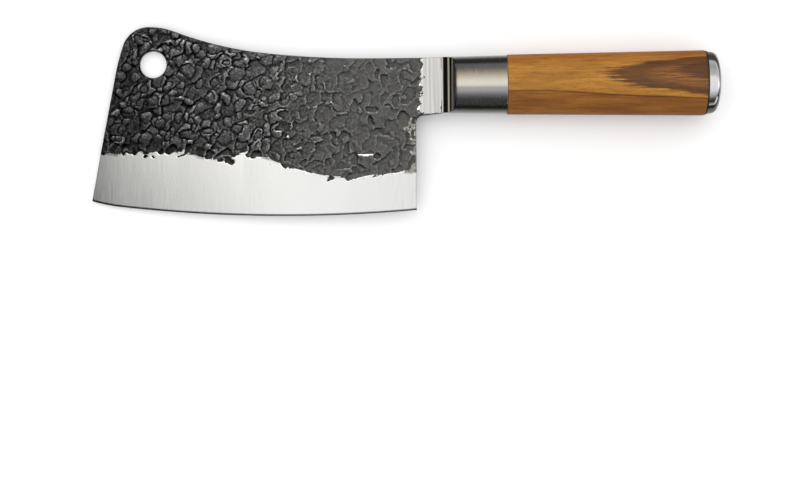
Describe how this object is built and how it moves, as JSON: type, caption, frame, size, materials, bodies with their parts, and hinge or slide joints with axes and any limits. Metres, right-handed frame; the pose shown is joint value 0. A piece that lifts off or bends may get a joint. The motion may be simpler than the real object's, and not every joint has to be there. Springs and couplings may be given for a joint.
{
  "type": "meat cleaver",
  "caption": "Meat cleaver with a black hammer-forged blade, polished ground edge, hanging hole, oval steel bolster, oval wooden handle and a domed steel butt cap.",
  "frame": {"origin": "centre of the hanging hole, half way through the blade's thickness", "axes": "+X along the blade and handle to the butt, +Y from the cutting edge to the spine, +Z out of the left face of the blade"},
  "size_m": [0.3146, 0.0951, 0.0256],
  "materials": {
    "forged_steel": "black hammered forge scale, with ground and satin-polished bevel and neck",
    "brushed_bolster_steel": "fine brushing round the oval, polished cove",
    "olive_wood": "sanded and oiled, golden brown with dark heartwood streaks",
    "plain_steel": "plain machined steel",
    "epoxy": "hard amber epoxy",
    "black_fibre": "black vulcanised fibre, matt",
    "polished_cap_steel": "mirror polish"
  },
  "bodies": {
    "root": {"blade": "forged_steel", "bolster": "brushed_bolster_steel", "handle": "olive_wood", "tang_rod": "plain_steel", "tang_adhesive": "epoxy", "tang_washer": "plain_steel", "tang_nut": "plain_steel", "rear_liner": "black_fibre", "end_cap": "polished_cap_steel"}
  },
  "joints": []
}
